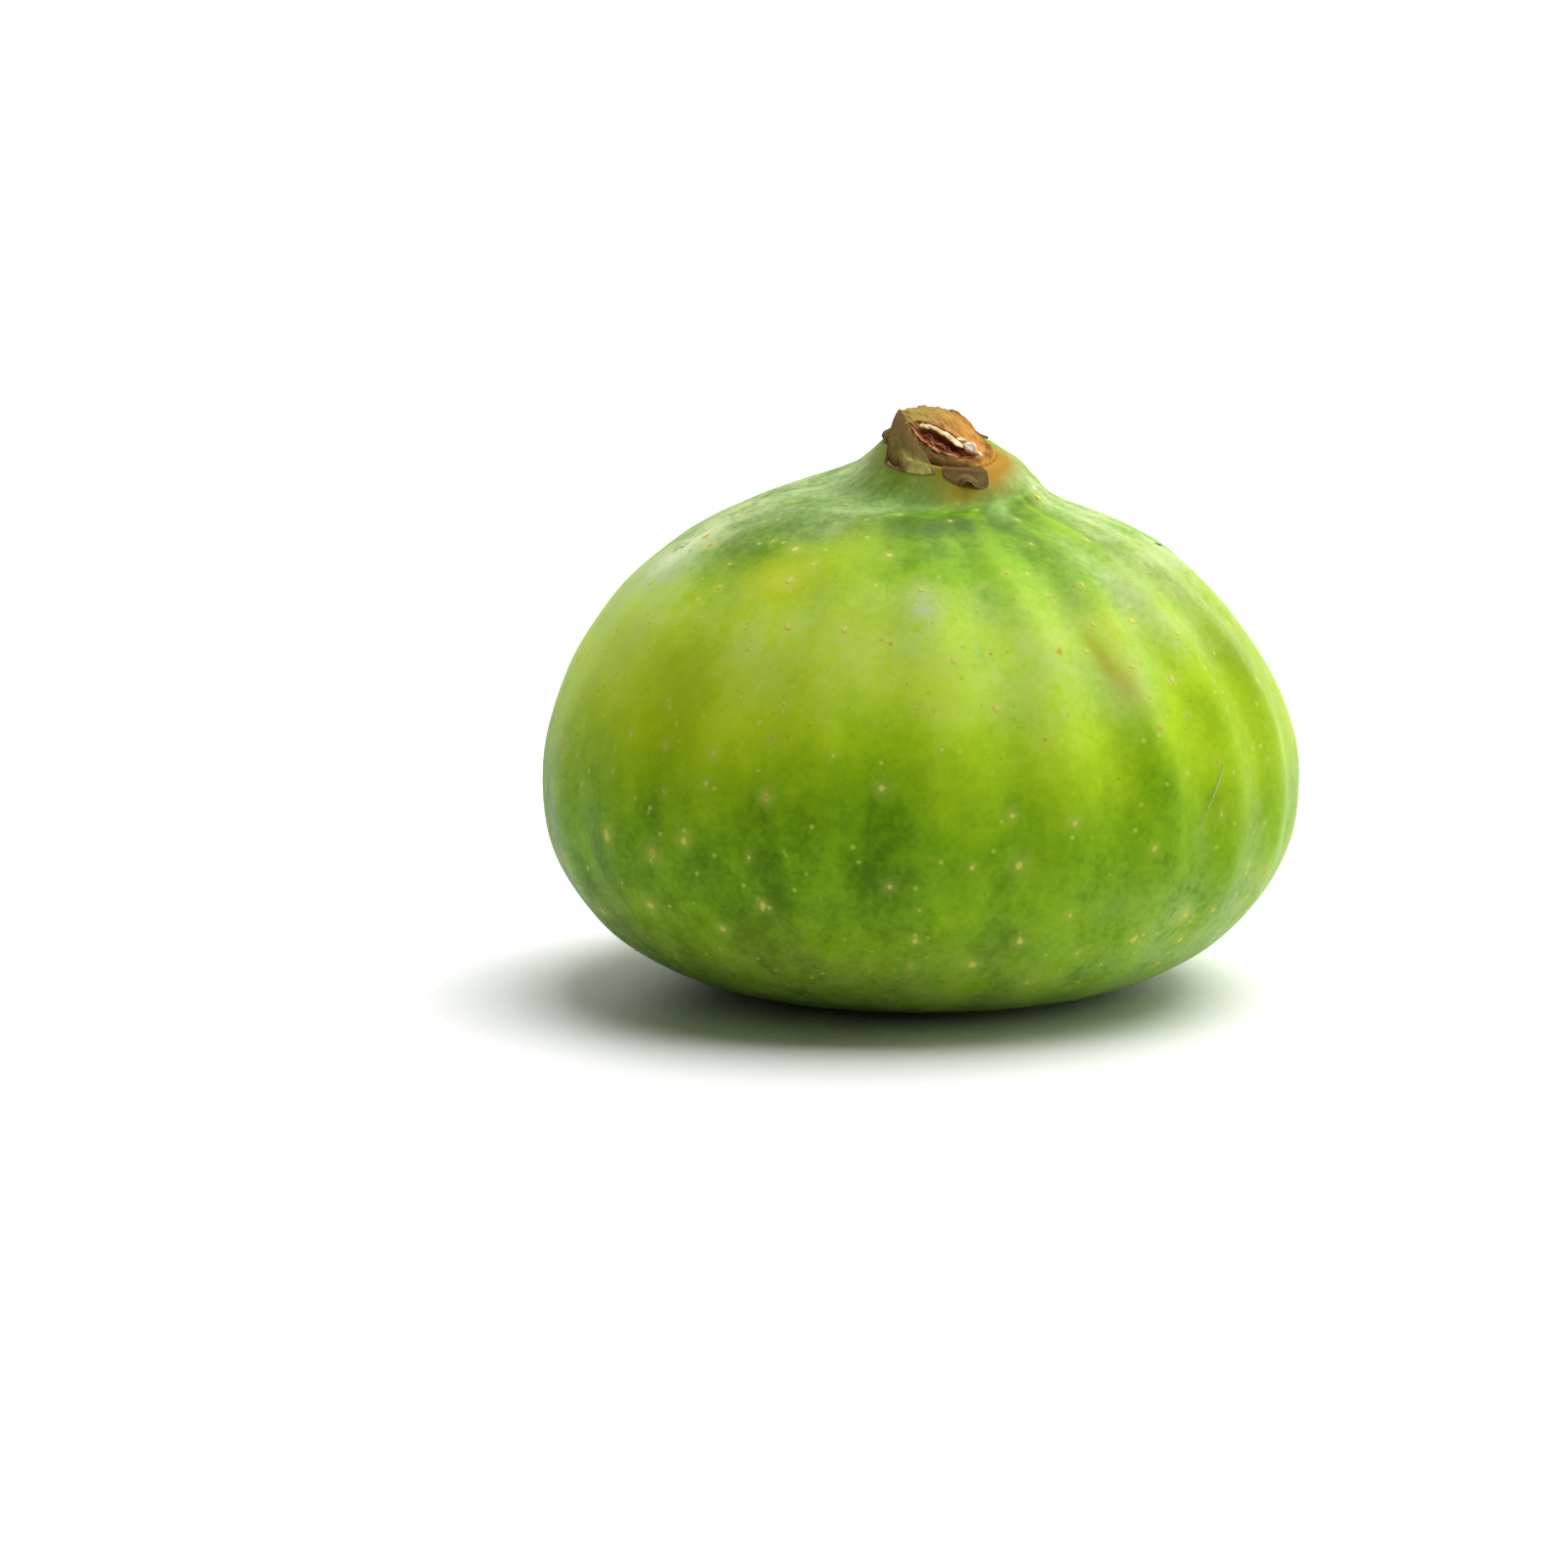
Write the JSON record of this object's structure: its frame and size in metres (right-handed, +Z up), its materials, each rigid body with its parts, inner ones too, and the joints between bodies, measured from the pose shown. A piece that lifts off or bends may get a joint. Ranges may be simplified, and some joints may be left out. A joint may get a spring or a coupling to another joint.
{
  "type": "fresh fig",
  "caption": "Fresh green fig, squat and softly ribbed, with a short neck and a cut stalk in dried bracts, standing on its flat base.",
  "frame": {"origin": "on the surface that the fig stands on, under the middle of the fruit", "axes": "+Z up along the fig; -Y is the front, the side that the stalk's cut faces; +X is the fig's right"},
  "size_m": [0.0597, 0.0593, 0.0455],
  "materials": {
    "fig_skin": "satin, waxy green skin with a pale bloom",
    "dried_stalk": "matt, dry brown bark, bracts and torn pith",
    "dried_scales": "matt, dry papery scales"
  },
  "bodies": {
    "root": {"fruit": "fig_skin", "stalk": "dried_stalk", "eye_scales": "dried_scales"}
  },
  "joints": []
}
